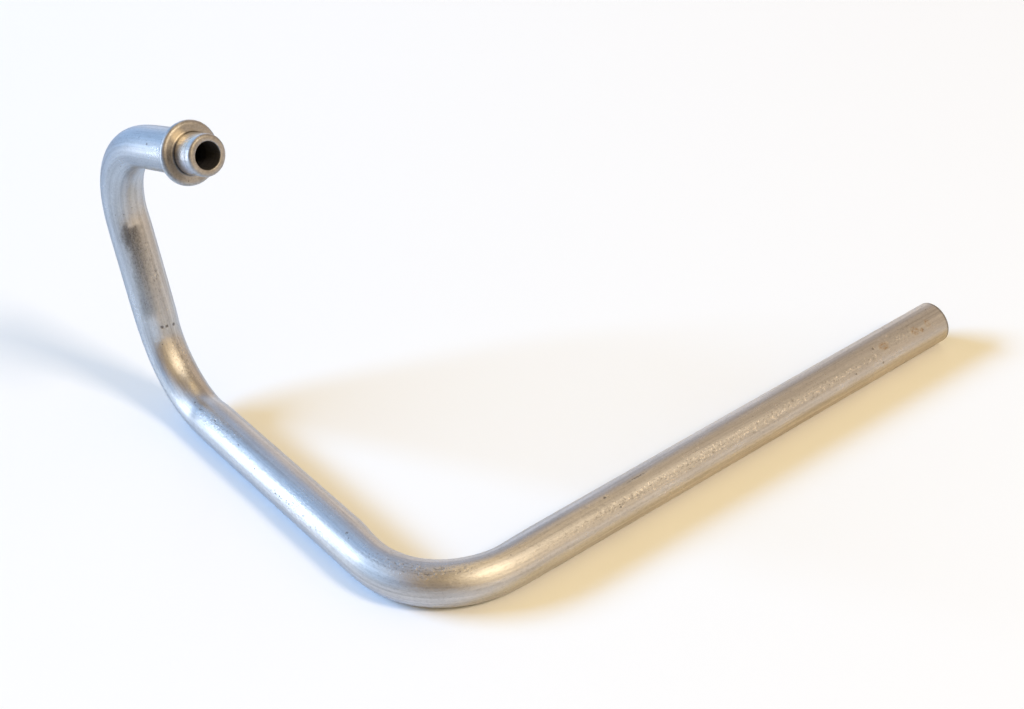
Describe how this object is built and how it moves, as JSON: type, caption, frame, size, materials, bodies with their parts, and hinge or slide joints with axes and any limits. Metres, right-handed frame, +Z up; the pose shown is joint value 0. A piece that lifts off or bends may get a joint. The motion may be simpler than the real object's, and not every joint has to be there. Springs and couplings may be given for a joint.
{
  "type": "bent steel tube",
  "caption": "Bent steel tube: a long plain leg and a base leg lie flat, and a riser lifts a short head leg that ends in a swept collar and a pilot nose.",
  "frame": {"origin": "centre of the plain end's mouth, on the tube's axis", "axes": "+X out of the plain end along its leg, +Z up with the plain leg and the base leg lying flat, +Y from the plain leg towards the riser"},
  "size_m": [0.1848, 0.1532, 0.099],
  "materials": {
    "bare_steel": "bare cold-drawn steel with fine lengthwise drawing lines, small pits and handling marks"
  },
  "bodies": {
    "root": {"bent_tube": "bare_steel"}
  },
  "joints": []
}
